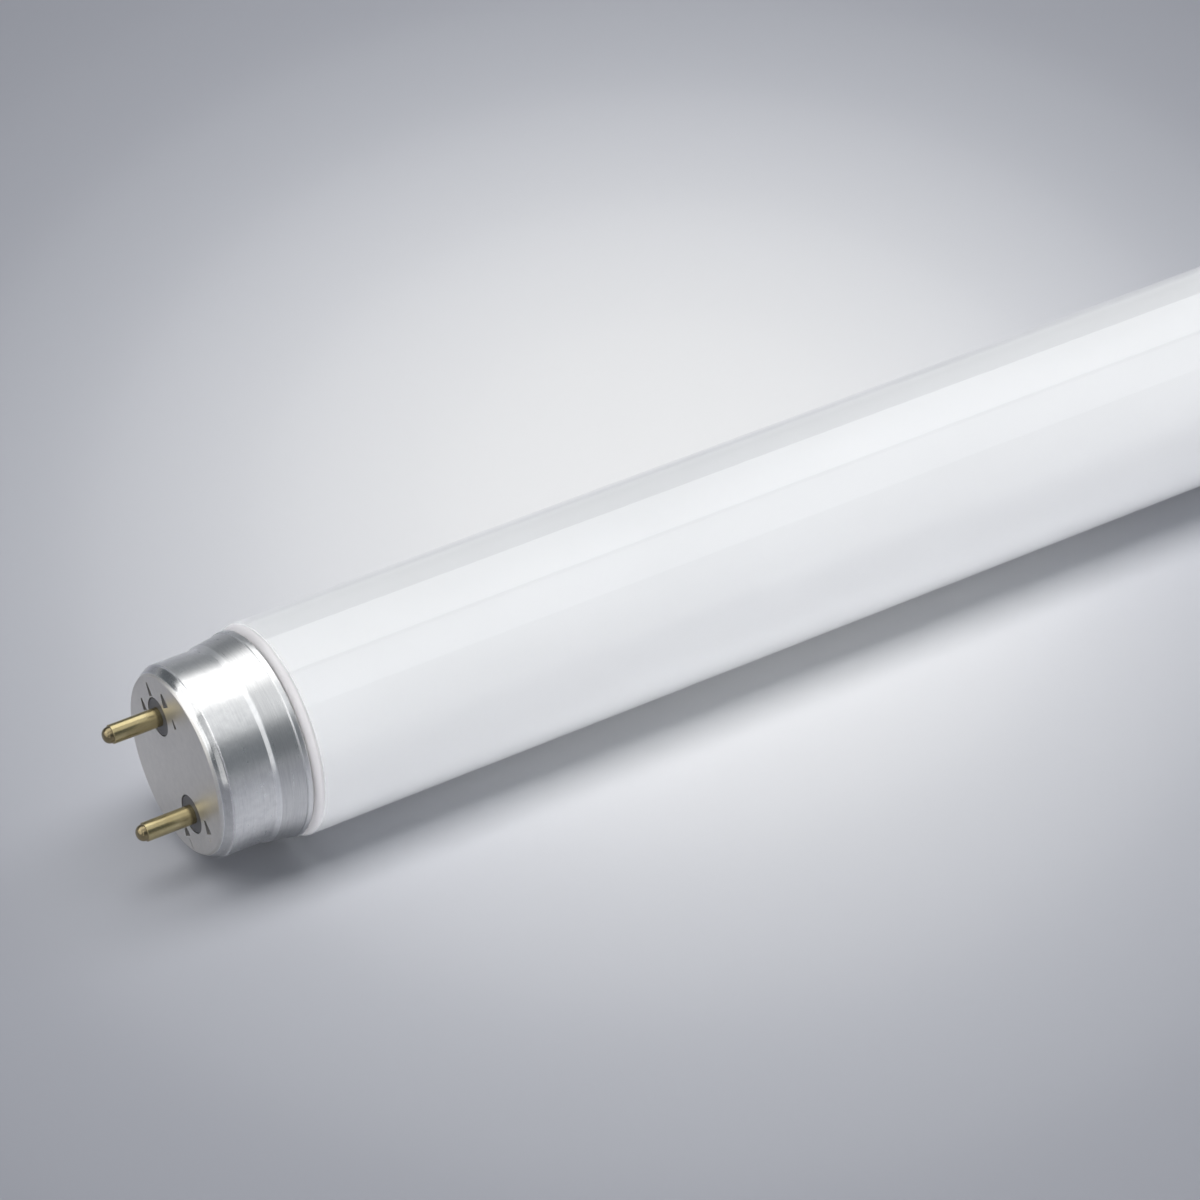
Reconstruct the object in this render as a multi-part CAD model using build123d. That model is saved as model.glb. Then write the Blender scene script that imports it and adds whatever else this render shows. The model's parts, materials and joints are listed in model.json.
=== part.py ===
from build123d import *
import os
from math import sqrt, tan, radians

# A two foot tube light with a two pin cap at each end.
# The tube lies along X with its axis on the origin, and its middle at X = 0.
# Lengths are in millimetres and angles in degrees. Depth is measured inwards from a cap's face.

# Length between the cap faces
face_to_face = 588.8

# Roll that puts the light strip, the tube's heavy side, at the bottom, where a free tube comes to rest,
# and the turn of both caps' pins from the normal to the strip's plane
rest_roll = 90.0
cap_turn = 53.0

# Clearances: between sliding fits, and between a seated edge and its wall
fit_gap = 0.05
seat_gap = 0.3

# Glass tube: a straight wall with a shoulder and a neck at each end
glass_od = 28.0
glass_wall = 1.0
shoulder_lean = 0.25
shoulder_round = 1.2
shoulder_root = 0.4
shoulder_gap = 0.2
lip_round = 0.25

# Drawn aluminium cap: front section, narrow bevel, flared seat and rolled rim
cap_wall = 0.4
cap_length = 12.0
cap_inset = 1.35
cap_bevel_depth = 7.3
cap_bevel_length = 0.5
cap_bevel_rise = 0.25
cap_flare_rise = 0.45
cap_rim_rise = 0.2
cap_rim_width = 0.8
cap_nose_round = 1.4
cap_nose_length = 1.3
cap_nose_width = 1.25
cap_nose_bend_depth = 0.42
cap_nose_bend_drop = 0.45
cap_nose_bend_round = 0.9
cap_edge_round = 0.25
cap_rim_round = 0.18

# Contact pins
pin_spacing = 12.7
pin_dia = 2.5
pin_length = 7.6
pin_tip_round = 1.1
pin_stem_dia = 2.1
pin_tail = 3.0
pin_flange_rise = 0.85
pin_flange_thickness = 0.5
pin_socket_depth = 2.0

# Insulating plate behind the cap's face, with a boss round each pin
boss_dia = 4.9
boss_gap = 0.12
boss_recess = 0.08
plate_thickness = 1.6

# Slits lanced through the cap's face, placed from each pin's centre
slit_width = 0.5
side_slit_length = 1.6
side_slit_offset = 3.45
side_slit_reach = 1.85
notch_length = 1.6
notch_reach = 3.45
short_slit_length = 1.1
short_slit_offset = 4.5
short_slit_reach = -1.2

# Cement between the neck and the cap
cement_gap = 0.3
cement_margin = 1.0
neck_clearance = 2.6

# White film inside the straight glass
film_thickness = 0.25
film_margin = 0.25

# Light strip and the silicone bed that fills the space behind it
strip_margin = 3.3
strip_width = 10.0
strip_thickness = 1.0
strip_bed = 0.15
led_count = 48
led_length = 3.5
led_width = 2.8
led_height = 0.7
led_margin = 9.0
phosphor_thickness = 0.12
phosphor_border = 0.45

# Driver board, a chord across the tube, with two rows of components
board_margin = 5.3
board_thickness = 1.0
board_offset = 6.0
row_side = 5.0
row_start = 7.0
component_gap = 1.2
component_lift = 0.3
lead_dia = 0.6
lead_reach = 2.2

# Components on the driver board
varistor_dia = 7.2
varistor_thickness = 3.4
varistor_leg = 1.6
film_capacitor_size = (10.0, 4.5, 8.0)
fuse_length = 9.0
fuse_dia = 3.4
rectifier_size = (8.2, 5.4, 2.4)
rectifier_pitch = 5.1
rectifier_leg = 0.3
chip_size = (4.9, 3.9, 1.5)
chip_pitch = 1.27
chip_leg = 0.2
bulk_capacitor_dia = 8.0
bulk_capacitor_length = 13.0
output_capacitor_dia = 6.3
output_capacitor_length = 9.0
inductor_dia = 8.4
inductor_height = 8.6
inductor_flange = 1.4
inductor_waist_dia = 4.4
resistor_size = (1.6, 3.2, 0.6)
resistor_count = 4
resistor_pitch = 5.0
header_length = 2.5
header_width = 5.1
header_post = 0.7
header_post_pitch = 2.6

# Wires from the pins, and the solder where they land
wire_dia = 1.3
wire_approach = 4.0
wire_landing_inset = 3.2
board_landing_side = 4.5
strip_landing_side = 2.5
joint_rise = 0.65
joint_height = 0.8

# Radii and depths that follow from the sizes above
half_length = face_to_face / 2
glass_radius = glass_od / 2
bore_radius = glass_radius - glass_wall
film_outer = bore_radius - fit_gap
film_inner = film_outer - film_thickness
front_radius = glass_radius - cap_inset
seat_radius = front_radius + cap_bevel_rise
mouth_radius = seat_radius + cap_flare_rise
rim_radius = mouth_radius + cap_rim_rise
bevel_end = cap_bevel_depth + cap_bevel_length
rim_start = cap_length - cap_rim_width
plate_back = cap_wall + plate_thickness
pin_tail_depth = plate_back + pin_tail
neck_radius = front_radius - cap_wall - cement_gap
neck_end_depth = plate_back + neck_clearance
shoulder_depth = cap_length + shoulder_gap
film_end_depth = shoulder_depth + shoulder_lean + glass_wall + film_margin

# The light strip and the driver board, as distances from the axis and depths
strip_back = sqrt(film_inner**2 - (strip_width / 2) ** 2) - strip_bed
strip_front = strip_back - strip_thickness
strip_end_depth = film_end_depth + strip_margin
strip_length = face_to_face - 2 * strip_end_depth
board_inner = board_offset - board_thickness
board_half_width = sqrt((film_inner - seat_gap) ** 2 - board_offset**2)
board_start_depth = film_end_depth + board_margin


def row_places(lengths):
    """Where each component of a row starts, and where the row ends."""
    places = [row_start]
    for length in lengths:
        places.append(places[-1] + length + component_gap)
    return places


upper_row = row_places(
    [
        varistor_thickness,
        film_capacitor_size[0],
        bulk_capacitor_length + lead_reach,
        output_capacitor_length + lead_reach,
    ]
)
lower_row = row_places([fuse_length + 2 * lead_reach, rectifier_size[0], inductor_dia, chip_size[0]])
resistor_place = max(upper_row[-1], lower_row[-1])
header_place = resistor_place + resistor_size[0] + component_gap
board_length = header_place + header_length + component_gap
led_first_depth = board_start_depth + board_length + led_margin
led_last_depth = strip_end_depth + led_margin


def turned(outline):
    """Solid turned about X from corners given as (depth, radius, corner rounding)."""
    corners = [(depth, radius) for depth, radius, _ in outline]
    roundings = [rounding for _, _, rounding in outline]
    profile = make_face(FilletPolyline(*corners, radius=roundings, close=True))
    return revolve(profile, Axis.X, 360)


def rod(start, length, radius):
    """Cylinder along X from a start point."""
    upright = Cylinder(radius, length, align=(Align.CENTER, Align.CENTER, Align.MIN))
    return Pos(*start) * Rot(Y=90) * upright


def post(place, across, height):
    """Round leg that stands on the plane Z = 0."""
    leg = Cylinder(lead_dia / 2, height, align=(Align.CENTER, Align.CENTER, Align.MIN))
    return Pos(place, across, 0) * leg


def block(length, width, height, rounding=0.0):
    """Box that stands on the plane Z = 0, with its upper edges rounded."""
    shape = Box(length, width, height, align=(Align.CENTER, Align.CENTER, Align.MIN))
    if rounding:
        shape = fillet(shape.faces().sort_by(Axis.Z)[-1].edges(), rounding)
    return shape


def wire(points, diameter):
    """Round wire along straight runs, each corner an arc of 0.45 of its shorter run."""
    runs = [Vector(*end) - Vector(*start) for start, end in zip(points, points[1:])]
    radii = []
    for before, after in zip(runs, runs[1:]):
        half_turn = radians(before.get_angle(after)) / 2
        radii.append(0.45 * min(before.length, after.length) / tan(half_turn))
    print("wire radii", [round(radius, 1) for radius in radii])
    section = Plane(origin=points[0], z_dir=runs[0]) * Circle(diameter / 2)
    return sweep(section, path=FilletPolyline(*points, radius=radii))


def near_end(shape):
    """Place a shape that is drawn inwards from a cap's face at the near end."""
    return Pos(-half_length, 0, 0) * shape


def far_end(shape):
    """Place the same shape, turned half round, at the far end."""
    return Pos(half_length, 0, 0) * Rot(Z=180) * shape


def on_driver(place, across, shape):
    """Place a shape that stands on Z = 0 on the driver board's inner face."""
    return near_end(Pos(board_start_depth + place, board_inner, across) * Rot(X=90) * shape)


def glass_tube():
    """Glass wall with a rounded shoulder and a straight neck at each end."""
    neck_bore = neck_radius - glass_wall
    foot = shoulder_depth + shoulder_lean
    bore_round = max(shoulder_round - glass_wall, lip_round / 2)
    near_outside = [
        (neck_end_depth - half_length, neck_radius, lip_round),
        (shoulder_depth - half_length, neck_radius, shoulder_root),
        (foot - half_length, glass_radius, shoulder_round),
    ]
    near_inside = [
        (foot + glass_wall - half_length, bore_radius, bore_round),
        (shoulder_depth + glass_wall - half_length, neck_bore, shoulder_root + glass_wall),
        (neck_end_depth - half_length, neck_bore, lip_round),
    ]
    far_outside = [(-place, radius, rounding) for place, radius, rounding in reversed(near_outside)]
    far_inside = [(-place, radius, rounding) for place, radius, rounding in reversed(near_inside)]
    return turned(near_outside + far_outside + far_inside + near_inside)


def cap_bore(depth_end):
    """Corners of the cap's inner wall, from the front section to a depth in the flare."""
    flare = cap_flare_rise * (depth_end - bevel_end) / (rim_start - bevel_end)
    return [
        (cap_bevel_depth, front_radius - cap_wall),
        (bevel_end, seat_radius - cap_wall),
        (depth_end, seat_radius + flare - cap_wall),
    ]


def slit(length, across, along):
    """Cutter for one slit through the cap's face."""
    return Pos(0, across, along) * Box(4 * cap_wall, slit_width, length)


def cap_shell():
    """Cap drawn from sheet, open at its mouth, with its pin openings and slits."""
    bore = [(depth, radius, cap_edge_round) for depth, radius in reversed(cap_bore(rim_start))]
    outside = [
        (0, 0, 0),
        (0, front_radius - cap_nose_width, cap_edge_round),
        (cap_nose_bend_depth, front_radius - cap_nose_bend_drop, cap_nose_bend_round),
        (cap_nose_length, front_radius, cap_edge_round),
        (cap_bevel_depth, front_radius, cap_edge_round),
        (bevel_end, seat_radius, cap_edge_round),
        (rim_start, mouth_radius, 0),
        (rim_start, rim_radius, cap_rim_round),
        (cap_length, rim_radius, cap_rim_round),
        (cap_length, mouth_radius - cap_wall, cap_wall / 4),
    ]
    face_back = [(cap_wall, front_radius - cap_wall, cap_nose_round - cap_wall), (cap_wall, 0, 0)]
    shell = turned(outside + bore + face_back)
    opening_radius = boss_dia / 2 + boss_gap
    for side in (1, -1):
        pin_place = side * pin_spacing / 2
        shell -= rod((-cap_wall, 0, pin_place), 3 * cap_wall, opening_radius)
        for across in (side_slit_offset, -side_slit_offset):
            shell -= slit(side_slit_length, across, pin_place + side * side_slit_reach)
    shell -= slit(notch_length, 0, pin_spacing / 2 + notch_reach)
    shell -= slit(short_slit_length, -short_slit_offset, pin_spacing / 2 + short_slit_reach)
    return shell


def insulator():
    """Round plate against the back of the cap's face, with two bosses that show through it."""
    radius = front_radius - cap_wall - fit_gap
    plate = turned(
        [(cap_wall, 0, 0), (cap_wall, radius, cap_nose_round), (plate_back, radius, 0), (plate_back, 0, 0)]
    )
    for side in (1, -1):
        plate += rod((boss_recess, 0, side * pin_spacing / 2), cap_wall - boss_recess, boss_dia / 2)
    for side in (1, -1):
        plate -= rod((0, 0, side * pin_spacing / 2), 2 * plate_back, pin_stem_dia / 2)
    return plate


def contact_pin(side):
    """Brass pin with a domed tip, a shoulder on the boss, a flange behind the plate and a wire socket."""
    radius = pin_dia / 2
    stem_radius = pin_stem_dia / 2
    flange_radius = radius + pin_flange_rise
    flange_end = plate_back + pin_flange_thickness
    socket_start = pin_tail_depth - pin_socket_depth
    pin = turned(
        [
            (-pin_length, 0, 0),
            (-pin_length, radius, min(pin_tip_round, 0.9 * radius)),
            (boss_recess, radius, 0),
            (boss_recess, stem_radius, 0),
            (plate_back, stem_radius, 0),
            (plate_back, flange_radius, 0),
            (flange_end, flange_radius, 0),
            (flange_end, stem_radius, 0),
            (pin_tail_depth, stem_radius, 0),
            (pin_tail_depth, wire_dia / 2, 0),
            (socket_start, wire_dia / 2, 0),
            (socket_start, 0, 0),
        ]
    )
    return Pos(0, 0, side * pin_spacing / 2) * pin


def cap_cement():
    """Ring of cement that fills the space between the glass neck and the cap."""
    start = neck_end_depth + cement_margin
    end = cap_length - cement_margin
    foot, shoulder, rim = cap_bore(end)
    bore = [(*foot, cap_edge_round), (*shoulder, cap_edge_round), (*rim, 0)]
    return turned([(start, neck_radius, 0), (start, foot[1], 0)] + bore + [(end, neck_radius, 0)])


def diffuser_film():
    """White film, rolled into a sleeve that lies against the glass bore."""
    start = film_end_depth - half_length
    length = -2 * start
    return rod((start, 0, 0), length, film_outer) - rod((start, 0, 0), length, film_inner)


def strip_bar(low, high):
    """Bar as long and as wide as the light strip, between two distances from the axis."""
    return Pos(0, (low + high) / 2, 0) * Box(strip_length, high - low, strip_width)


def thermal_bed():
    """Silicone with a flat front for the strip and a round back against the film."""
    back_radius = film_inner - fit_gap
    return strip_bar(strip_back, film_outer) & rod((-strip_length / 2, 0, 0), strip_length, back_radius)


def led_row(length, width, height, lift):
    """Row of equal blocks on the strip, one for each light source."""
    first = led_first_depth - half_length
    last = half_length - led_last_depth
    pitch = (last - first) / (led_count - 1)
    chip = Rot(X=90) * Pos(0, 0, lift) * block(length, width, height)
    return Compound([Pos(first + pitch * place, strip_front, 0) * chip for place in range(led_count)])


def driver_board():
    """Circuit board whose long edges lie against the film."""
    plate = Box(board_length, board_thickness, 2 * board_half_width)
    middle = board_offset - board_thickness / 2
    return near_end(Pos(board_start_depth + board_length / 2, middle, 0) * plate)


def strip_header():
    """Spacer block with two posts that join the driver board to the strip."""
    gap = strip_front - board_offset
    header = block(header_length, header_width, gap * 0.75, lip_round)
    for across in (header_post_pitch / 2, -header_post_pitch / 2):
        header += Pos(0, across, 0) * block(header_post, header_post, gap)
    place = board_start_depth + header_place + header_length / 2
    return near_end(Pos(place, board_offset, 0) * Rot(X=-90) * header)


def formed_leg(height):
    """Leg that leaves a component against X and bends down to the board."""
    return wire([(0, 0, height), (-lead_reach, 0, height), (-lead_reach, 0, 0)], lead_dia)


def electrolytic(diameter, length):
    """Can that lies on the board on two legs, with a rolled groove near its sealed end."""
    radius = diameter / 2
    edge_round = 0.4
    groove_depth = 0.35
    groove_place = 2.0
    groove_half_width = 0.4
    can = turned(
        [
            (0, 0, 0),
            (0, radius, edge_round),
            (groove_place - groove_half_width, radius, groove_depth),
            (groove_place, radius - groove_depth, groove_depth / 2),
            (groove_place + groove_half_width, radius, groove_depth),
            (length, radius, edge_round),
            (length, 0, 0),
        ]
    )
    height = radius + component_lift
    body = Pos(0, 0, height) * can
    for across in (diameter / 5, -diameter / 5):
        body += Pos(0, across, 0) * formed_leg(height)
    return Pos(lead_reach, 0, 0) * body


def fuse_resistor():
    """Coated resistor with swollen ends and a leg at each end."""
    radius = fuse_dia / 2
    waist_radius = 0.82 * radius
    swell = 0.24 * fuse_length
    middle = fuse_length / 2
    coat = turned(
        [
            (0, 0, 0),
            (0, radius, 0.35 * radius),
            (swell, radius, 0.3 * radius),
            (1.2 * swell, waist_radius, 0.15 * radius),
            (middle, waist_radius, 0),
            (middle, 0, 0),
        ]
    )
    height = radius + component_lift
    half = Pos(-middle, 0, 0) * (Pos(0, 0, height) * coat + formed_leg(height))
    return Pos(lead_reach + middle, 0, 0) * (half + Rot(Z=180) * half)


def surge_varistor():
    """Coated disc that stands on two straight legs."""
    radius = varistor_dia / 2
    disc = Rot(Y=90) * Cylinder(radius, varistor_thickness)
    disc = fillet(disc.edges().filter_by(GeomType.CIRCLE), varistor_thickness / 4)
    varistor = Pos(0, 0, varistor_leg + radius) * disc
    for across in (radius / 2, -radius / 2):
        varistor += post(0, across, varistor_leg + radius / 2)
    return Pos(varistor_thickness / 2, 0, 0) * varistor


def film_capacitor():
    """Boxed capacitor on two short legs."""
    length, width, height = film_capacitor_size
    capacitor = Pos(0, 0, component_lift) * block(length, width, height, lip_round)
    for place in (0.4 * length, -0.4 * length):
        capacitor += post(place, 0, 2 * component_lift)
    return Pos(length / 2, 0, 0) * capacitor


def inductor_core():
    """Ferrite drum that the coil is wound on."""
    radius = inductor_dia / 2
    waist = inductor_waist_dia / 2
    upper = inductor_height - inductor_flange
    drum = turned(
        [
            (0, 0, 0),
            (0, radius, lip_round),
            (inductor_flange, radius, lip_round),
            (inductor_flange, waist, 0),
            (upper, waist, 0),
            (upper, radius, lip_round),
            (inductor_height, radius, lip_round),
            (inductor_height, 0, 0),
        ]
    )
    return Pos(radius, 0, 0) * Rot(Y=-90) * drum


def inductor_coil():
    """Copper coil in the drum's waist, fuller at mid-height."""
    radius = inductor_dia / 2
    waist = inductor_waist_dia / 2
    edge = waist + 0.7 * (radius - waist)
    belly = waist + 0.85 * (radius - waist)
    upper = inductor_height - inductor_flange
    coil = turned(
        [
            (inductor_flange, waist, 0),
            (inductor_flange, edge, 0),
            (inductor_height / 2, belly, radius / 3),
            (upper, edge, 0),
            (upper, waist, 0),
        ]
    )
    return Pos(radius, 0, 0) * Rot(Y=-90) * coil


def flat_package(size, legs_in_row, pitch, thickness):
    """Moulded package with gull wing legs on its two long sides."""
    length, width, height = size
    root = width / 2 - thickness
    knee = width / 2 + 2 * thickness
    toe = knee + 4 * thickness
    rise = height / 2
    section = make_face(
        Polyline(
            (root, rise),
            (knee, rise),
            (knee, thickness),
            (toe, thickness),
            (toe, 0),
            (knee - thickness, 0),
            (knee - thickness, rise - thickness),
            (root, rise - thickness),
            close=True,
        )
    )
    leg = extrude(Plane.YZ * section, amount=pitch * 0.15, both=True)
    package = Pos(0, 0, thickness / 2) * block(length, width, height, thickness)
    for step in range(legs_in_row):
        place = pitch * (step - (legs_in_row - 1) / 2)
        package += Pos(place, 0, 0) * leg
        package += Pos(place, 0, 0) * Rot(Z=180) * leg
    return Pos(length / 2, 0, 0) * package


def chip_resistors():
    """Row of small chip resistors across the board."""
    place = resistor_place + resistor_size[0] / 2
    middle = (resistor_count - 1) / 2
    sides = [resistor_pitch * (step - middle) for step in range(resistor_count)]
    return Compound([on_driver(place, side, block(*resistor_size)) for side in sides])


def pin_wire(end, side, landing):
    """Wire from a pin's socket that lands square on a board, at (depth, distance, side)."""
    landing_depth, landing_distance, landing_side = landing
    pin_place = Vector(0, 0, side * pin_spacing / 2).rotate(Axis.X, cap_turn)
    socket_depth = pin_tail_depth - pin_socket_depth
    approach_depth = landing_depth - wire_approach
    stations = [
        (socket_depth, pin_place.Y, pin_place.Z),
        ((socket_depth + approach_depth) / 2, pin_place.Y, pin_place.Z),
        (approach_depth, 0, side * landing_side),
        (landing_depth, 0, side * landing_side),
        (landing_depth, landing_distance, side * landing_side),
    ]
    return wire([(end * (half_length - depth), y, z) for depth, y, z in stations], wire_dia)


def solder_joint(end, side, landing):
    """Cone of solder round a wire where it meets a board."""
    landing_depth, landing_distance, landing_side = landing
    radius = wire_dia / 2
    cone = Cone(radius + joint_rise, radius + joint_rise / 4, joint_height) - Cylinder(radius, joint_height)
    place = (end * (half_length - landing_depth), landing_distance - joint_height / 2, side * landing_side)
    return Pos(*place) * Rot(X=90) * cone


nodes = {
    "glass_tube": glass_tube(),
    "diffuser_film": diffuser_film(),
    "thermal_bed": thermal_bed(),
    "light_strip": strip_bar(strip_front, strip_back),
    "led_packages": led_row(led_length, led_width, led_height, 0),
    "led_phosphors": led_row(
        led_length - 2 * phosphor_border, led_width - 2 * phosphor_border, phosphor_thickness, led_height
    ),
    "driver_board": driver_board(),
    "strip_header": strip_header(),
    "surge_varistor": on_driver(upper_row[0], row_side, surge_varistor()),
    "film_capacitor": on_driver(upper_row[1], row_side, film_capacitor()),
    "bulk_capacitor": on_driver(
        upper_row[2], row_side, electrolytic(bulk_capacitor_dia, bulk_capacitor_length)
    ),
    "output_capacitor": on_driver(
        upper_row[3], row_side, electrolytic(output_capacitor_dia, output_capacitor_length)
    ),
    "fuse_resistor": on_driver(lower_row[0], -row_side, fuse_resistor()),
    "bridge_rectifier": on_driver(
        lower_row[1], -row_side, flat_package(rectifier_size, 2, rectifier_pitch, rectifier_leg)
    ),
    "inductor_core": on_driver(lower_row[2], -row_side, inductor_core()),
    "inductor_coil": on_driver(lower_row[2], -row_side, inductor_coil()),
    "control_chip": on_driver(lower_row[3], -row_side, flat_package(chip_size, 4, chip_pitch, chip_leg)),
    "chip_resistors": chip_resistors(),
}

board_landing = (board_start_depth + wire_landing_inset, board_inner, board_landing_side)
strip_landing = (strip_end_depth + wire_landing_inset, strip_front, strip_landing_side)

ends = (("near", -1, near_end, board_landing), ("far", 1, far_end, strip_landing))

for end_name, end, placed, landing in ends:
    nodes[f"{end_name}_cap_shell"] = Rot(X=cap_turn) * placed(cap_shell())
    nodes[f"{end_name}_cap_cement"] = placed(cap_cement())
    nodes[f"{end_name}_insulator"] = Rot(X=cap_turn) * placed(insulator())
    nodes[f"{end_name}_solder_joints"] = Compound([solder_joint(end, side, landing) for side in (1, -1)])
    for side_name, side in (("upper", 1), ("lower", -1)):
        nodes[f"{end_name}_{side_name}_pin"] = Rot(X=cap_turn) * placed(contact_pin(side))
        nodes[f"{end_name}_{side_name}_wire"] = pin_wire(end, side, landing)

os.makedirs("parts", exist_ok=True)
for name, shape in nodes.items():
    export_step(Rot(X=-rest_roll) * shape, f"parts/{name}.step")
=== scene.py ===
import json
import bpy
import numpy as np
from mathutils import Matrix, Vector


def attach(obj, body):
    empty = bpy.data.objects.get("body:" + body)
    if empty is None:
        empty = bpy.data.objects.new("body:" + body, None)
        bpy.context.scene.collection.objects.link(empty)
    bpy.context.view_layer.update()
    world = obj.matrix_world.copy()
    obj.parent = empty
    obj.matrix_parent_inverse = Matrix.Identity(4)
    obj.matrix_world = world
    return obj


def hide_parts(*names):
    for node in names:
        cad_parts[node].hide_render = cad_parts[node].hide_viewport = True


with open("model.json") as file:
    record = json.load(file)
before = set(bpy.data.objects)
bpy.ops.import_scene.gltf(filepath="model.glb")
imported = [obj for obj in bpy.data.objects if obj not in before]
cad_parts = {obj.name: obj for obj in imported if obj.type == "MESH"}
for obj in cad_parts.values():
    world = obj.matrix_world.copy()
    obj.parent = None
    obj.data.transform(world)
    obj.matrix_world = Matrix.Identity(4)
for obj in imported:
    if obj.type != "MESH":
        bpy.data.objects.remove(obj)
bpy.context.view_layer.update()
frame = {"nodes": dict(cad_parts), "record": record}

# Camera
# The photograph's view of the near cap: from the left of the tube, well above it, through a long lens.
camera_azimuth = np.radians(-31.92)
camera_height = np.radians(37.55)
camera_distance = 0.61881
focal_pixels = 5032.66
photo_pixels = 1200
cap_face_pixel = (174.75, 765.57)
half_length = 0.2944
sensor_width = 36.0

toward_camera = Vector(
    (
        np.sin(camera_azimuth) * np.cos(camera_height),
        -np.cos(camera_azimuth) * np.cos(camera_height),
        np.sin(camera_height),
    )
)
camera_right = Vector((np.cos(camera_azimuth), np.sin(camera_azimuth), 0))
camera_up = toward_camera.cross(camera_right)
pixel_size = camera_distance / focal_pixels
camera_place = (
    Vector((-half_length, 0, 0))
    + camera_distance * toward_camera
    - camera_right * (cap_face_pixel[0] - photo_pixels / 2) * pixel_size
    + camera_up * (cap_face_pixel[1] - photo_pixels / 2) * pixel_size
)
camera_data = bpy.data.cameras.new("camera")
camera_data.sensor_width = sensor_width
camera_data.lens = focal_pixels * sensor_width / photo_pixels
camera_data.clip_start = 0.01
camera_data.clip_end = 50
camera = bpy.data.objects.new("camera", camera_data)
camera.matrix_world = Matrix.Translation(camera_place) @ Matrix(
    (camera_right, camera_up, toward_camera)
).transposed().to_4x4()
bpy.context.scene.collection.objects.link(camera)
bpy.context.scene.camera = camera

# Floor
# One sheet of pale blue-grey paper that the tube lies on. Its colour holds a painted pool of light that is
# brightest beside the near cap and fades away from it.
floor_height = -0.014
floor_reach = 8.0
paper_rings = 48
paper_spokes = 96
glow_centre = (-0.202, 0.0303)
glow_half_length = 0.1038
glow_half_width = 0.08
glow_turn = 0.982
glow_fade = 6.0


def mesh_piece(name, corners, faces, smooth=True):
    """Object from an array of corner places and a list of faces."""
    mesh = bpy.data.meshes.new(name)
    mesh.from_pydata(corners.tolist(), [], faces)
    mesh.polygons.foreach_set("use_smooth", [smooth] * len(mesh.polygons))
    mesh.update()
    piece = bpy.data.objects.new(name, mesh)
    bpy.context.scene.collection.objects.link(piece)
    return piece


def paper_sheet():
    """Flat disc. Ring i has the floor's reach times the square of i over the number of rings as its radius,
    and spoke j stands at j equal shares of a full turn."""
    radius = floor_reach * (np.arange(1, paper_rings + 1) / paper_rings) ** 2
    angle = np.linspace(0, 2 * np.pi, paper_spokes, endpoint=False)
    x = radius[:, None] * np.cos(angle)
    y = radius[:, None] * np.sin(angle)
    ring_points = np.stack([x, y, np.full_like(x, floor_height)], axis=2).reshape(-1, 3)
    corners = np.vstack([ring_points, [[0, 0, floor_height]]])
    ring, spoke = np.meshgrid(np.arange(paper_rings - 1), np.arange(paper_spokes), indexing="ij")
    here = ring * paper_spokes + spoke
    beside = ring * paper_spokes + (spoke + 1) % paper_spokes
    quads = np.stack([here, here + paper_spokes, beside + paper_spokes, beside], axis=2).reshape(-1, 4)
    middle = len(ring_points)
    spoke = np.arange(paper_spokes)
    fan = np.stack([np.full(paper_spokes, middle), spoke, (spoke + 1) % paper_spokes], axis=1)
    return mesh_piece("paper", corners, quads.tolist() + fan.tolist())


def new_material(name):
    """Material with a Principled shader; gives the material, its node tree and the shader."""
    material = bpy.data.materials.new(name)
    material.use_nodes = True
    return material, material.node_tree, material.node_tree.nodes["Principled BSDF"]


def node(tree, kind, **settings):
    """Shader node of a kind with its settings or input values."""
    made = tree.nodes.new(kind)
    for key, value in settings.items():
        if hasattr(made, key):
            setattr(made, key, value)
        else:
            made.inputs[key.replace("_", " ")].default_value = value
    return made


def ramp(tree, source, stops):
    """Colour ramp from (position, colour) stops, fed by a socket."""
    made = tree.nodes.new("ShaderNodeValToRGB")
    elements = made.color_ramp.elements
    elements[0].position, elements[0].color = stops[0][0], (*stops[0][1], 1)
    elements[1].position, elements[1].color = stops[-1][0], (*stops[-1][1], 1)
    for position, colour in stops[1:-1]:
        elements.new(position).color = (*colour, 1)
    tree.links.new(source, made.inputs["Fac"])
    return made.outputs["Color"]


def place_on_piece(tree, scale=(1, 1, 1)):
    """Object coordinates, stretched by a scale in a Mapping node."""
    coordinates = node(tree, "ShaderNodeTexCoord")
    mapping = node(tree, "ShaderNodeMapping", Scale=scale)
    tree.links.new(coordinates.outputs["Object"], mapping.inputs["Vector"])
    return mapping.outputs["Vector"]


def painted_glow_tint(pale):
    """Colour of the paper's painted pool of light where its painted brightness is pale. Green is that
    brightness, red is 0.95 of it and 0.06 of its square, and blue is 1.18 of it less 0.22 of its square, so the
    paler it is, the less blue."""
    return pale * (0.95 + 0.06 * pale), pale, pale * (1.18 - 0.22 * pale)


paper = paper_sheet()
paper_painted_glow, tree, shader = new_material("paper_painted_glow")
shader.inputs["Roughness"].default_value = 0.95
shader.inputs["Specular IOR Level"].default_value = 0.1
# The paper's colour is a painted pool of light: an oval glow beside the near cap, darker away from it
spot = node(tree, "ShaderNodeMapping", vector_type="TEXTURE")
spot.inputs["Location"].default_value = (*glow_centre, floor_height)
spot.inputs["Rotation"].default_value = (0, 0, glow_turn)
spot.inputs["Scale"].default_value = (
    glow_half_length * glow_fade,
    glow_half_width * glow_fade,
    glow_fade,
)
tree.links.new(node(tree, "ShaderNodeTexCoord").outputs["Object"], spot.inputs["Vector"])
glow = node(tree, "ShaderNodeTexGradient", gradient_type="SPHERICAL")
tree.links.new(spot.outputs["Vector"], glow.inputs["Vector"])
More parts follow.
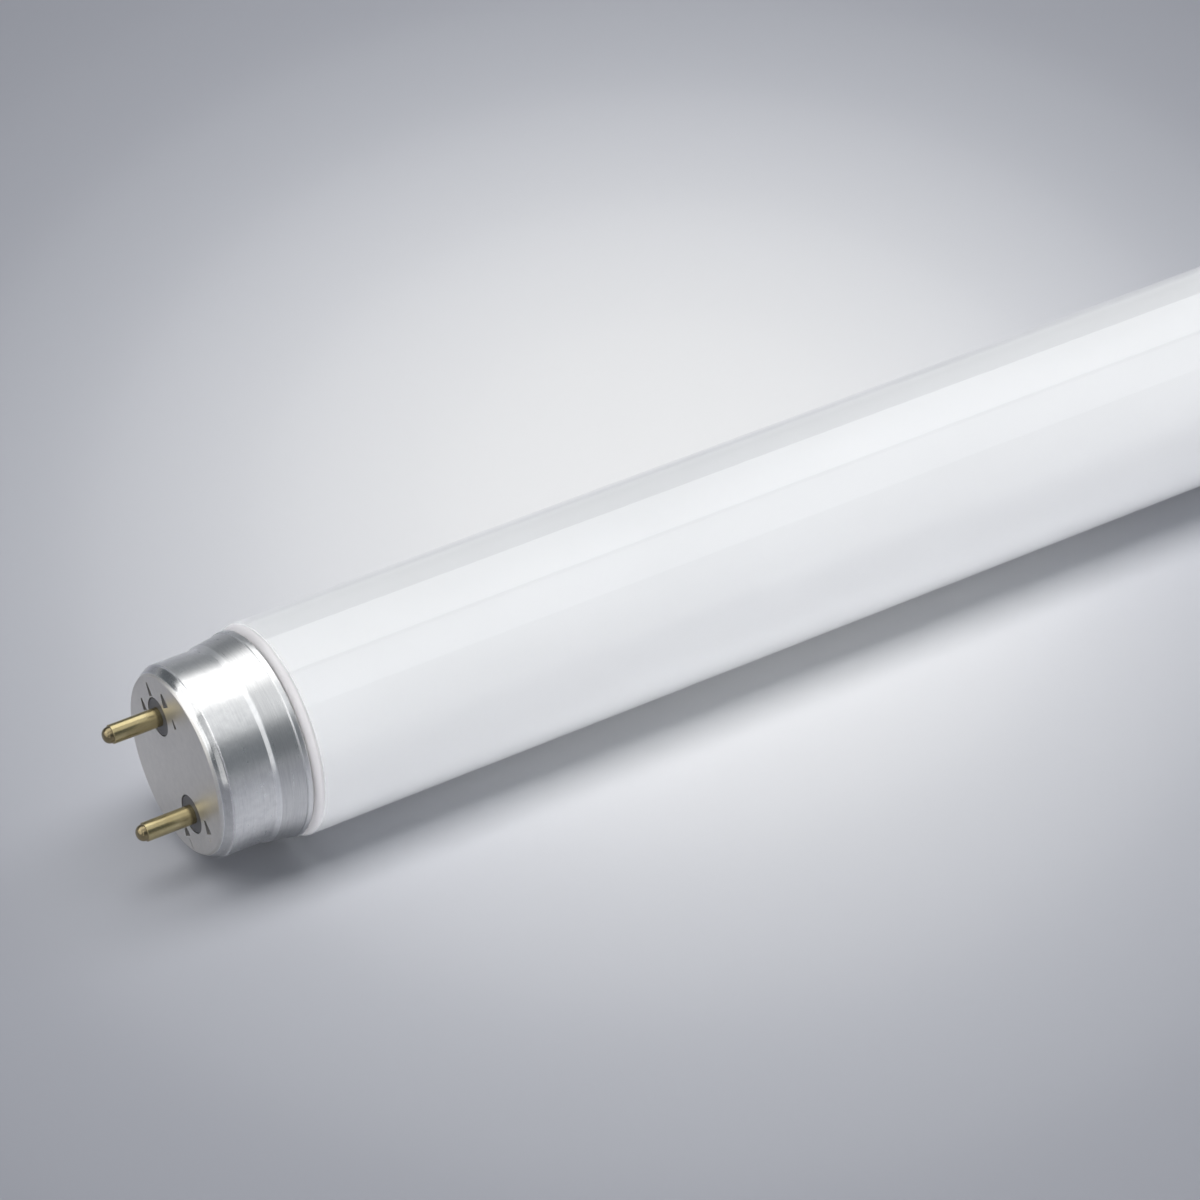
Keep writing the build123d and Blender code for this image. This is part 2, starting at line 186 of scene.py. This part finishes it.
# Distance from the middle of the painted pool of light in its radii, then the paper's painted brightness there
glow_steps = [
    (6.0, 0.335),
    (4.0, 0.285),
    (2.9, 0.25),
    (2.1, 0.257),
    (1.6, 0.297),
    (1.3, 0.36),
    (1.0, 0.475),
    (0.7, 0.62),
    (0.4, 0.73),
    (0.0, 0.77),
]
painted_glow_tints = [(1 - radii / glow_fade, painted_glow_tint(pale)) for radii, pale in glow_steps]
painted_glow_tone = ramp(tree, glow.outputs["Fac"], painted_glow_tints)
painted_glow_tone.node.color_ramp.interpolation = "CARDINAL"
tree.links.new(painted_glow_tone, shader.inputs["Base Color"])
paper.data.materials.append(paper_painted_glow)

# Light
# Two long softboxes that only the glossy surfaces mirror, an overhead key and two low fills that light only
# the matt ones, and two softboxes by the near end, all in a dim room with a pale horizon.
softbox_distance = 1.1
watts_for_white = 4


def area_lamp(name, width, height, brightness):
    """Rectangular lamp whose face has a brightness, where 1 is white. The camera doesn't see it."""
    data = bpy.data.lights.new(name, "AREA")
    data.shape = "RECTANGLE"
    data.size = width
    data.size_y = height
    data.energy = watts_for_white * brightness * width * height
    lamp = bpy.data.objects.new(name, data)
    lamp.visible_camera = False
    bpy.context.scene.collection.objects.link(lamp)
    return lamp


def softbox(name, turn, spread, length, brightness, tint, mirrored):
    """Long lamp parallel to the tube, a turn away from straight up towards the back.
    Its height is twice its distance times the tangent of half the angle it spreads over, both in degrees.
    Only glossy surfaces take a mirrored one, and only matt surfaces the others."""
    height = 2 * softbox_distance * np.tan(np.radians(spread) / 2)
    lamp = area_lamp(name, length, height, brightness)
    lamp.data.color = tint
    turn = np.radians(turn)
    lamp.rotation_euler = (-turn, 0, 0)
    lamp.location = (0, softbox_distance * np.sin(turn), softbox_distance * np.cos(turn))
    lamp.visible_glossy = mirrored
    lamp.visible_transmission = mirrored
    lamp.visible_diffuse = not mirrored


def end_lamp(name, direction, distance, width, height, brightness):
    """Lamp away from the near cap in a direction, turned to face it, that only glossy surfaces take."""
    lamp = area_lamp(name, width, height, brightness)
    direction = Vector(direction).normalized()
    lamp.location = Vector((-half_length, 0, 0)) + distance * direction
    lamp.rotation_euler = direction.to_track_quat("Z", "Y").to_euler()
    lamp.visible_diffuse = False


warm = (1.0, 0.985, 0.98)
softbox("back_softbox", 24, 48, length=3.4, brightness=1.25, tint=(1.0, 0.995, 0.985), mirrored=True)
softbox("top_softbox", -22, 36, length=3.4, brightness=0.55, tint=(0.99, 0.995, 1.0), mirrored=True)
softbox("overhead_key", 3, 28, length=3.0, brightness=3.0, tint=(1.0, 0.99, 0.98), mirrored=False)
softbox("front_fill", -90, 24, length=3.0, brightness=4.8, tint=warm, mirrored=False)
softbox("back_fill", 80, 30, length=3.0, brightness=1.2, tint=warm, mirrored=False)
end_lamp("end_softbox", (-0.9, 0.12, 0.4), distance=1.3, width=1.7, height=0.95, brightness=0.9)
end_lamp("edge_softbox", (-0.47, -0.7, 0.54), distance=1.5, width=0.5, height=2.3, brightness=0.5)

room = bpy.data.worlds.new("room")
room.use_nodes = True
tree = room.node_tree
outward = node(tree, "ShaderNodeSeparateXYZ")
tree.links.new(node(tree, "ShaderNodeTexCoord").outputs["Generated"], outward.inputs[0])
pale_horizon = (0.45, 0.46, 0.48)
dim_wall = (0.135, 0.15, 0.165)
room_tones = [(0.0, pale_horizon), (0.03, pale_horizon), (0.2, dim_wall), (1.0, dim_wall)]
tree.links.new(ramp(tree, outward.outputs["Z"], room_tones), tree.nodes["Background"].inputs["Color"])
bpy.context.scene.world = room
bpy.context.scene.view_settings.view_transform = "Standard"

# Glass tube
# Clear glass, drawn in at each end to a shoulder and a neck that the caps are cemented on.
mm = 0.001
around = 256
arc_steps = 8
axis_radius = 1e-7
glass_radius = 14 * mm
bore_radius = 13 * mm
neck_radius = 11.95 * mm
neck_bore = 10.95 * mm
lip_depth = 4.6 * mm
shoulder_depth = 12.2 * mm
shoulder_foot = 12.45 * mm
glass_wall = 1 * mm
film_contact_depth = 14.5 * mm
frosting_starts = 13.6 * mm
frosting_full = 13.0 * mm
frosted_clearness = 0.15
glass_tint = (0.97, 0.98, 0.985)
frosted_tint = (0.84, 0.825, 0.84)


def rounded(corners):
    """Profile with each corner (depth, radius, rounding) replaced by an arc that touches both its runs.
    The arc's centre lies on the corner's bisector, at the rounding over the sine of half the corner's angle,
    and its points turn evenly from the first touching point to the last."""
    corners = np.array(corners, dtype=float)
    before, after = np.roll(corners, 1, axis=0), np.roll(corners, -1, axis=0)
    points = []
    for start, corner, end in zip(before, corners, after):
        place, rounding = corner[:2], corner[2]
        if not rounding:
            points.append(place[None])
            continue
        back = (start[:2] - place) / np.linalg.norm(start[:2] - place)
        ahead = (end[:2] - place) / np.linalg.norm(end[:2] - place)
        half_angle = np.arccos(np.clip(back @ ahead, -1, 1)) / 2
        middle = back + ahead
        centre = place + middle / np.linalg.norm(middle) * rounding / np.sin(half_angle)
        first = place + back * rounding / np.tan(half_angle) - centre
        last = place + ahead * rounding / np.tan(half_angle) - centre
        share = np.linspace(0, 1, arc_steps + 1)[:, None]
        sweep = np.pi - 2 * half_angle
        arc = (first * np.sin((1 - share) * sweep) + last * np.sin(share * sweep)) / np.sin(sweep)
        points.append(centre + arc)
    return np.vstack(points)


def turned_faces(profile, turn_count, closed):
    """Corners and faces of a profile of (depth, radius) turned about X.
    Corner (i, j) is at depth i, with minus the sine and the cosine of angle j times its radius as its Y and Z.
    A point on the axis at either end becomes a pole."""
    angle = np.linspace(0, 2 * np.pi, turn_count, endpoint=False)
    on_axis = profile[:, 1] < axis_radius
    rings = profile[~on_axis]
    x = np.repeat(rings[:, :1], turn_count, axis=1)
    corners = np.stack([x, -rings[:, 1:] * np.sin(angle), rings[:, 1:] * np.cos(angle)], axis=2).reshape(-1, 3)
    count = len(rings)
    row, step = np.meshgrid(np.arange(count if closed else count - 1), np.arange(turn_count), indexing="ij")
    below, beside = (row + 1) % count, (step + 1) % turn_count
    row, below = row * turn_count, below * turn_count
    quads = np.stack([row + step, row + beside, below + beside, below + step], axis=2)
    faces = quads.reshape(-1, 4).tolist()
    step, beside = np.arange(turn_count), (np.arange(turn_count) + 1) % turn_count
    if on_axis[0]:
        pole = len(corners)
        corners = np.vstack([corners, [[profile[0, 0], 0, 0]]])
        faces += np.stack([np.full(turn_count, pole), beside, step], axis=1).tolist()
    if on_axis[-1]:
        pole = len(corners)
        last = (count - 1) * turn_count
        corners = np.vstack([corners, [[profile[-1, 0], 0, 0]]])
        faces += np.stack([np.full(turn_count, pole), last + step, last + beside], axis=1).tolist()
    return corners, faces


near_outside = [
    (lip_depth - half_length, neck_radius, 0.25 * mm),
    (shoulder_depth - half_length, neck_radius, 0.4 * mm),
    (shoulder_foot - half_length, glass_radius, 1.2 * mm),
]
near_inside = [
    (shoulder_foot + glass_wall - half_length, bore_radius, 0.2 * mm),
    (shoulder_depth + glass_wall - half_length, neck_bore, 1.4 * mm),
    (lip_depth - half_length, neck_bore, 0.25 * mm),
]
glass_corners = (
    near_outside
    + [(-x, r, rounding) for x, r, rounding in reversed(near_outside)]
    + [(-x, r, rounding) for x, r, rounding in reversed(near_inside)]
    + near_inside
)
glass = mesh_piece("glass", *turned_faces(rounded(glass_corners), around, True))

centres = np.empty(len(glass.data.polygons) * 3)
glass.data.polygons.foreach_get("center", centres)
centres = centres.reshape(-1, 3)
in_bore = np.hypot(centres[:, 1], centres[:, 2]) < (glass_radius + bore_radius) / 2
on_film = in_bore & (np.abs(centres[:, 0]) < half_length - film_contact_depth)
glass.data.polygons.foreach_set("material_index", on_film.astype(int))


def reach_along_tube(tree):
    """Distance from the middle of the tube along X: the absolute value of the object's X."""
    place = node(tree, "ShaderNodeSeparateXYZ")
    tree.links.new(place_on_piece(tree), place.inputs[0])
    reach = node(tree, "ShaderNodeMath", operation="ABSOLUTE")
    tree.links.new(place.outputs["X"], reach.inputs[0])
    return reach.outputs[0]


def spread_over(tree, source, from_low, from_high, to_low, to_high):
    """A socket's range from low to high spread evenly over another range, and held at its ends."""
    made = node(
        tree, "ShaderNodeMapRange", From_Min=from_low, From_Max=from_high, To_Min=to_low, To_Max=to_high
    )
    tree.links.new(source, made.inputs["Value"])
    return made.outputs[0]


def noise(tree, stretch, **settings):
    """Noise pattern on Object coordinates that a scale stretches."""
    made = node(tree, "ShaderNodeTexNoise", **settings)
    tree.links.new(place_on_piece(tree, stretch), made.inputs["Vector"])
    return made.outputs["Fac"]


def relief(tree, shader, height, strength, distance):
    """Bump on a shader's normal, from a height socket and with a strength that is a socket or a value."""
    bump = node(tree, "ShaderNodeBump", Distance=distance)
    if isinstance(strength, float):
        bump.inputs["Strength"].default_value = strength
    else:
        tree.links.new(strength, bump.inputs["Strength"])
    tree.links.new(height, bump.inputs["Height"])
    tree.links.new(bump.outputs["Normal"], shader.inputs["Normal"])


def let_light_pass(tree, shader, colour):
    """Glass that stays clear for shadow and diffuse rays, so that the lamps reach what is behind it."""
    light_path = node(tree, "ShaderNodeLightPath")
    either = node(tree, "ShaderNodeMath", operation="MAXIMUM")
    tree.links.new(light_path.outputs["Is Shadow Ray"], either.inputs[0])
    tree.links.new(light_path.outputs["Is Diffuse Ray"], either.inputs[1])
    passing = node(tree, "ShaderNodeBsdfTransparent")
    passing.inputs["Color"].default_value = colour
    choice = node(tree, "ShaderNodeMixShader")
    tree.links.new(either.outputs[0], choice.inputs["Fac"])
    tree.links.new(shader.outputs[0], choice.inputs[1])
    tree.links.new(passing.outputs[0], choice.inputs[2])
    tree.links.new(choice.outputs[0], tree.nodes["Material Output"].inputs["Surface"])


# The film is bonded to the bore, so there the glass has no surface of its own to mirror or bend light
bonded_glass, tree, shader = new_material("bonded_glass")
let_light_pass(tree, shader, (1, 1, 1, 1))
shader.inputs["Roughness"].default_value = 0.0
shader.inputs["IOR"].default_value = 1.0
shader.inputs["Specular IOR Level"].default_value = 0.0
shader.inputs["Transmission Weight"].default_value = 1.0
seeds = noise(tree, (1, 1, 1), Scale=60.0, Detail=2.0)
seed_tints = [(0.3, (0.985, 0.988, 0.99)), (0.7, (1.0, 1.0, 1.0))]
tree.links.new(ramp(tree, seeds, seed_tints), shader.inputs["Base Color"])

# Frosted where it draws in to the shoulder, clear everywhere else
clear_glass, tree, shader = new_material("clear_glass")
let_light_pass(tree, shader, (*glass_tint, 1))
shader.inputs["Roughness"].default_value = 0.03
shader.inputs["IOR"].default_value = 1.5
frosting = spread_over(
    tree, reach_along_tube(tree), half_length - frosting_starts, half_length - frosting_full, 0.0, 1.0
)
tree.links.new(ramp(tree, frosting, [(0.0, glass_tint), (1.0, frosted_tint)]), shader.inputs["Base Color"])
clearness = spread_over(tree, frosting, 0.0, 1.0, 1.0, frosted_clearness)
tree.links.new(clearness, shader.inputs["Transmission Weight"])
waviness = noise(tree, (12, 90, 90), Scale=1.0, Detail=2.0)
relief(tree, shader, waviness, strength=0.08, distance=0.2 * mm)
glass.data.materials.append(clear_glass)
glass.data.materials.append(bonded_glass)
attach(glass, "root")
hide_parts("glass_tube")

# White lining
# Thin white diffusing film, rolled into a sleeve against the inside of the glass.
film_outer = 12.95 * mm
film_inner = 12.7 * mm
film_end = half_length - 13.7 * mm
film_profile = np.array(
    [(-film_end, film_outer), (film_end, film_outer), (film_end, film_inner), (-film_end, film_inner)]
)
lining = mesh_piece("lining", *turned_faces(film_profile, around, True), smooth=False)
white_film, tree, shader = new_material("white_film")
shader.inputs["Roughness"].default_value = 0.6
cloud = noise(tree, (30, 120, 120), Scale=1.0, Detail=3.0)
film_tints = [(0.3, (0.9, 0.9, 0.91)), (0.7, (0.94, 0.94, 0.95))]
tree.links.new(ramp(tree, cloud, film_tints), shader.inputs["Base Color"])
shine_through = node(tree, "ShaderNodeBsdfTranslucent", Color=(0.93, 0.93, 0.94, 1))
diffusing = node(tree, "ShaderNodeMixShader", Fac=0.3)
tree.links.new(shader.outputs[0], diffusing.inputs[1])
tree.links.new(shine_through.outputs[0], diffusing.inputs[2])
tree.links.new(diffusing.outputs[0], tree.nodes["Material Output"].inputs["Surface"])
lining.data.materials.append(white_film)
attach(lining, "root")
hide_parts("diffuser_film")

# Caps
# Drawn aluminium shells with a rounded nose, a narrow bevel, a flared seat and a rolled rim.
# Slits are lanced through the face beside the pin openings.
cap_turn = np.radians(-37)
pin_offset = 6.35
opening_radius = 2.57
opening_steps = 96
opening_reach = 0.8
face_depth = 0.35 * mm
face_blend = 0.1 * mm
nose_depth = 1.5 * mm
nose_blend = 0.1 * mm
front_depth = 7.2 * mm
seat_depth = 8.2 * mm
sharp_angle = np.radians(40)
# Depth in from the face, radius and rounding, all in millimetres: down the outside, then back up the inside
cap_corners = [
    (0, 0, 0),
    (0, 11.62, 0.3),
    (0.8, 12.2, 1.0),
    (1.38, 12.52, 0.05),
    (1.46, 12.46, 0.03),
    (1.58, 12.65, 0.05),
    (7.3, 12.65, 0.06),
    (7.8, 12.92, 0.08),
    (11.2, 13.35, 0.08),
    (11.2, 13.55, 0.18),
    (12, 13.55, 0.18),
    (12, 12.95, 0.1),
    (11.2, 12.95, 0),
    (7.8, 12.5, 0.25),
    (7.3, 12.25, 0.25),
    (0.4, 12.25, 1.0),
    (0.4, 0, 0),
]
# Length, place across the pins' line and along it, width and depth, all in millimetres. The last two are
# shallow marks.
slits = [
    (1.6, 3.55, pin_offset + 1.85, 0.8, 0.8),
    (1.8, -3.7, pin_offset + 1.85, 1.1, 0.8),
    (1.8, 3.7, -pin_offset - 1.85, 1.0, 0.8),
    (1.8, -3.7, -pin_offset - 1.85, 1.0, 0.8),
    (1.8, 0, pin_offset + 3.6, 0.7, 0.8),
    (1.3, -4.5, pin_offset - 1.2, 0.5, 0.8),
    (1.5, 3.5, -pin_offset - 3.75, 0.15, 0.08),
    (0.5, -3.3, -pin_offset - 3.5, 0.5, 0.1),
]


def at_end(points, end):
    """Points drawn inwards from a cap's face, in millimetres, placed at an end.
    Each is turned about X by the cap's turn. At the far end X and Y change sign first, which turns no face
    inside out."""
    x, y, z = points.T * mm
    if end > 0:
        x, y = -x, -y
    cos, sin = np.cos(cap_turn), np.sin(cap_turn)
    return np.stack([end * half_length + x, cos * y - sin * z, sin * y + cos * z], axis=1)


def cap_disc(name, end):
    """Profile turned about X, with one flat face in front and one behind instead of poles."""
    profile = rounded(cap_corners)
    profile = profile[profile[:, 1] > axis_radius]
    corners, faces = turned_faces(profile, around, False)
    front = list(range(around))
    back = list(range(len(corners) - around, len(corners)))
    return mesh_piece(name, at_end(corners, end), faces + [front[::-1], back])


def cutters(name, end):
    """Wedges for the slits and round bars for the pin openings, as one loose object.
    A slit's width grows evenly along it, from half of that named to one and a half times that. A bar's corners
    stand at the cosine and the sine of even turns times the opening's radius, round each pin's place."""
    corners, faces = [], []
    box = np.array([(x, y, z) for x in (-0.5, 0.5) for y in (-0.5, 0.5) for z in (-0.5, 0.5)])
    sides = np.array([(0, 1, 3, 2), (4, 6, 7, 5), (0, 4, 5, 1), (2, 3, 7, 6), (0, 2, 6, 4), (1, 5, 7, 3)])
    start = 0
    for length, across, along, width, depth in slits:
        wedge = box * (2 * depth, width, length)
        wedge[:, 1] *= 1 - box[:, 2]
        corners.append(wedge + (0, across, along))
        faces += (sides + start).tolist()
        start += 8
    angle = np.linspace(0, 2 * np.pi, opening_steps, endpoint=False)
    step = np.arange(opening_steps)
    beside = (step + 1) % opening_steps
    for side in (1, -1):
        y = opening_radius * np.cos(angle)
        z = opening_radius * np.sin(angle) + side * pin_offset
        ring = np.stack([np.full(opening_steps, -opening_reach), y, z], axis=1)
        corners += [ring, ring + (2 * opening_reach, 0, 0)]
        walls = np.stack([step, beside, beside + opening_steps, step + opening_steps], axis=1)
        faces += (walls + start).tolist()
        faces += [(step[::-1] + start).tolist(), (step + opening_steps + start).tolist()]
        start += 2 * opening_steps
    return mesh_piece(name, at_end(np.vstack(corners), end), faces, smooth=False)


def cap(name, end):
    """Cap with its slits and pin openings cut, sharp where its faces meet at more than the sharp angle."""
    shell = cap_disc(name, end)
    tools = cutters(name + "_cutters", end)
    cut = shell.modifiers.new("cut", "BOOLEAN")
    cut.operation, cut.solver, cut.object = "DIFFERENCE", "EXACT", tools
    bpy.context.view_layer.update()
    made = bpy.data.meshes.new_from_object(shell.evaluated_get(bpy.context.evaluated_depsgraph_get()))
    shell.modifiers.clear()
    shell.data = made
    made.name = name
    bpy.data.objects.remove(tools)
    made.set_sharp_from_angle(angle=sharp_angle)
    return shell


def mixed(tree, share, first, second, data_type):
    """Mix of two sockets or values by a share, which is a socket or a value."""
    made = node(tree, "ShaderNodeMix", data_type=data_type)
    sockets = [socket for socket in made.inputs if socket.enabled]
    for socket, source in zip(sockets, (share, first, second)):
        if isinstance(source, float):
            socket.default_value = source
        else:
            tree.links.new(source, socket)
    return next(socket for socket in made.outputs if socket.enabled)


# Painted light and shade on the metal, by depth in from the face in millimetres: a little lighter on the face,
# a painted shade on the nose band, a painted highlight on the narrow bevel and a painted shade on the seat
painted_zone_light = [
    (0.0, 1.05),
    (0.4, 1.05),
    (0.5, 0.72),
    (1.3, 0.72),
    (1.45, 1.0),
    (7.2, 1.0),
    (7.35, 1.14),
    (7.85, 1.14),
    (8.0, 0.86),
    (11.1, 0.86),
    (11.2, 1.0),
]
cap_depth = 12
wall_tints = [(0.34, (0.75, 0.75, 0.755)), (0.5, (0.84, 0.84, 0.84)), (0.66, (0.93, 0.93, 0.925))]
face_tints = [(0.3, (0.6, 0.585, 0.565)), (0.7, (0.68, 0.66, 0.635))]
face_roughness = 0.42

cap_aluminium, tree, shader = new_material("cap_aluminium")
shader.inputs["Metallic"].default_value = 1.0
brushing = noise(tree, (6500, 220, 220), Scale=1.0, Detail=4.0, Roughness=0.7)
blotches = noise(tree, (1, 1, 1), Scale=1100.0, Detail=4.0, Roughness=0.55)
specks = noise(tree, (1, 1, 1), Scale=5200.0, Detail=2.0)
reach = reach_along_tube(tree)
brushed = spread_over(tree, reach, half_length - seat_depth, half_length - front_depth, 0.85, 0.5)
grain = mixed(tree, brushed, blotches, brushing, "FLOAT")
face_line = half_length - face_depth
on_face = spread_over(tree, reach, face_line - face_blend, face_line + face_blend, 0.0, 1.0)
metal = mixed(tree, on_face, ramp(tree, grain, wall_tints), ramp(tree, grain, face_tints), "RGBA")
depth = spread_over(tree, reach, half_length, half_length - cap_depth * mm, 0.0, 1.0)
painted_zone_tones = ramp(tree, depth, [(inward / cap_depth, (shade, shade, shade)) for inward, shade in painted_zone_light])
# The metal's colour is multiplied by each zone's painted shade or painted highlight
metal_and_painted_light = node(tree, "ShaderNodeMix", data_type="RGBA", blend_type="MULTIPLY", Factor=1.0)
tree.links.new(metal, metal_and_painted_light.inputs[6])
tree.links.new(painted_zone_tones, metal_and_painted_light.inputs[7])
tree.links.new(metal_and_painted_light.outputs[2], shader.inputs["Base Color"])
dulled = node(tree, "ShaderNodeMath", operation="ADD")
tree.links.new(spread_over(tree, grain, 0.3, 0.7, 0.36, 0.25), dulled.inputs[0])
tree.links.new(spread_over(tree, specks, 0.6, 0.72, 0.0, 0.16), dulled.inputs[1])
polished = node(tree, "ShaderNodeMath", operation="MULTIPLY")
nose_line = half_length - nose_depth
tree.links.new(dulled.outputs[0], polished.inputs[0])
tree.links.new(spread_over(tree, reach, nose_line - nose_blend, nose_line, 1.0, 0.6), polished.inputs[1])
tree.links.new(mixed(tree, on_face, polished.outputs[0], face_roughness, "FLOAT"), shader.inputs["Roughness"])
height = mixed(tree, 0.3, grain, specks, "FLOAT")
relief(tree, shader, height, strength=spread_over(tree, on_face, 0.0, 1.0, 0.06, 0.04), distance=0.02 * mm)

for end_name, end in (("near", -1), ("far", 1)):
    shell = cap(end_name + "_cap", end)
    shell.data.materials.append(cap_aluminium)
    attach(shell, "root")
    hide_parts(end_name + "_cap_shell")

# Contact pins
# Turned brass pins with domed tips, shouldered on the insulator, with a wire socket in the tail.
pin_around = 96
dome_start = 6.5 * mm
dome_full = 6.6 * mm
# Depth in from the cap's face, radius and rounding, all in millimetres: from the tip down, then up the socket
pin_profile = [
    (-7.6, 0, 0),
    (-7.6, 1.02, 0.9),
    (-6.6, 1.08, 0),
    (-6.52, 1.25, 0.06),
    (0.08, 1.25, 0.03),
    (0.08, 1.05, 0),
    (2.0, 1.05, 0),
    (2.0, 2.1, 0),
    (2.5, 2.1, 0),
    (2.5, 1.05, 0),
    (5.0, 1.05, 0),
    (5.0, 0.65, 0),
    (3.0, 0.65, 0),
    (3.0, 0, 0),
]
shank_tints = [(0.3, (0.48, 0.4, 0.215)), (0.7, (0.56, 0.48, 0.275))]
# The darker dome tints are a painted shade on the domed tips
painted_shade_dome_tints = [(0.3, (0.27, 0.22, 0.13)), (0.7, (0.33, 0.27, 0.16))]
pin_brass, tree, shader = new_material("pin_brass")
shader.inputs["Metallic"].default_value = 1.0
tarnish = noise(tree, (1, 1, 1), Scale=700.0, Detail=4.0)
dome_shade_share = spread_over(tree, reach_along_tube(tree), half_length + dome_start, half_length + dome_full, 0.0, 1.0)
brass = mixed(tree, dome_shade_share, ramp(tree, tarnish, shank_tints), ramp(tree, tarnish, painted_shade_dome_tints), "RGBA")
tree.links.new(brass, shader.inputs["Base Color"])
turning = noise(tree, (9000, 200, 200), Scale=1.0, Detail=3.0)
tree.links.new(spread_over(tree, turning, 0.3, 0.7, 0.24, 0.26), shader.inputs["Roughness"])
for end_name, end in (("near", -1), ("far", 1)):
    for side_name, side in (("upper", 1), ("lower", -1)):
        corners, faces = turned_faces(rounded(pin_profile), pin_around, False)
        name = f"{end_name}_{side_name}"
        pin = mesh_piece(name + "_contact", at_end(corners + (0, 0, side * pin_offset), end), faces)
        pin.data.set_sharp_from_angle(angle=sharp_angle)
        pin.data.materials.append(pin_brass)
        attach(pin, "root")
        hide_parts(name + "_pin")

# Inner parts
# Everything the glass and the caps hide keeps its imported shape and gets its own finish.
# Darkest and lightest colour, scale of the mottling, smoothest and roughest roughness, and metallic or not
inner_finishes = {
    "insulator_grey": ((0.075, 0.075, 0.08), (0.11, 0.11, 0.118), 900, 0.4, 0.55, 0.0),
    "cement": ((0.74, 0.71, 0.64), (0.86, 0.84, 0.78), 2500, 0.8, 0.95, 0.0),
    "silicone": ((0.8, 0.8, 0.78), (0.88, 0.88, 0.86), 400, 0.5, 0.65, 0.0),
    "strip_white": ((0.86, 0.86, 0.84), (0.93, 0.93, 0.91), 300, 0.35, 0.5, 0.0),
    "led_body": ((0.88, 0.88, 0.86), (0.95, 0.95, 0.93), 1500, 0.4, 0.55, 0.0),
    "phosphor": ((0.9, 0.66, 0.12), (0.98, 0.8, 0.28), 3500, 0.5, 0.7, 0.0),
    "board_green": ((0.03, 0.2, 0.09), (0.06, 0.3, 0.14), 700, 0.25, 0.4, 0.0),
    "black_plastic": ((0.02, 0.02, 0.022), (0.045, 0.045, 0.05), 1800, 0.4, 0.6, 0.0),
    "blue_coat": ((0.05, 0.14, 0.42), (0.1, 0.24, 0.56), 600, 0.2, 0.35, 0.0),
    "yellow_plastic": ((0.78, 0.56, 0.07), (0.9, 0.7, 0.14), 700, 0.3, 0.45, 0.0),
    "can_sleeve": ((0.03, 0.035, 0.07), (0.06, 0.07, 0.12), 500, 0.2, 0.35, 0.0),
    "grey_coat": ((0.38, 0.43, 0.35), (0.52, 0.56, 0.48), 1400, 0.7, 0.85, 0.0),
    "ferrite": ((0.08, 0.08, 0.09), (0.15, 0.15, 0.16), 2000, 0.5, 0.7, 0.0),
    "copper": ((0.6, 0.28, 0.14), (0.82, 0.44, 0.24), 3000, 0.25, 0.4, 1.0),
    "tin": ((0.6, 0.6, 0.6), (0.8, 0.8, 0.8), 2500, 0.25, 0.45, 1.0),
    "wire_white": ((0.82, 0.82, 0.82), (0.92, 0.92, 0.92), 800, 0.4, 0.55, 0.0),
}
inner_materials = {}
for finish_name, (dark, light, grain_scale, smoothest, roughest, metallic) in inner_finishes.items():
    material, tree, shader = new_material(finish_name)
    shader.inputs["Metallic"].default_value = metallic
    mottle = noise(tree, (1, 1, 1), Scale=float(grain_scale), Detail=5.0)
    tree.links.new(ramp(tree, mottle, [(0.3, dark), (0.7, light)]), shader.inputs["Base Color"])
    tree.links.new(spread_over(tree, mottle, 0.3, 0.7, smoothest, roughest), shader.inputs["Roughness"])
    relief(tree, shader, mottle, strength=0.15, distance=0.02 * mm)
    inner_materials[finish_name] = material
for subpart in frame["record"]["subparts"]:
    carried = frame["nodes"][subpart["node"]]
    if subpart["material_slot"] in inner_materials and not carried.hide_render:
        carried.data.materials.clear()
        carried.data.materials.append(inner_materials[subpart["material_slot"]])
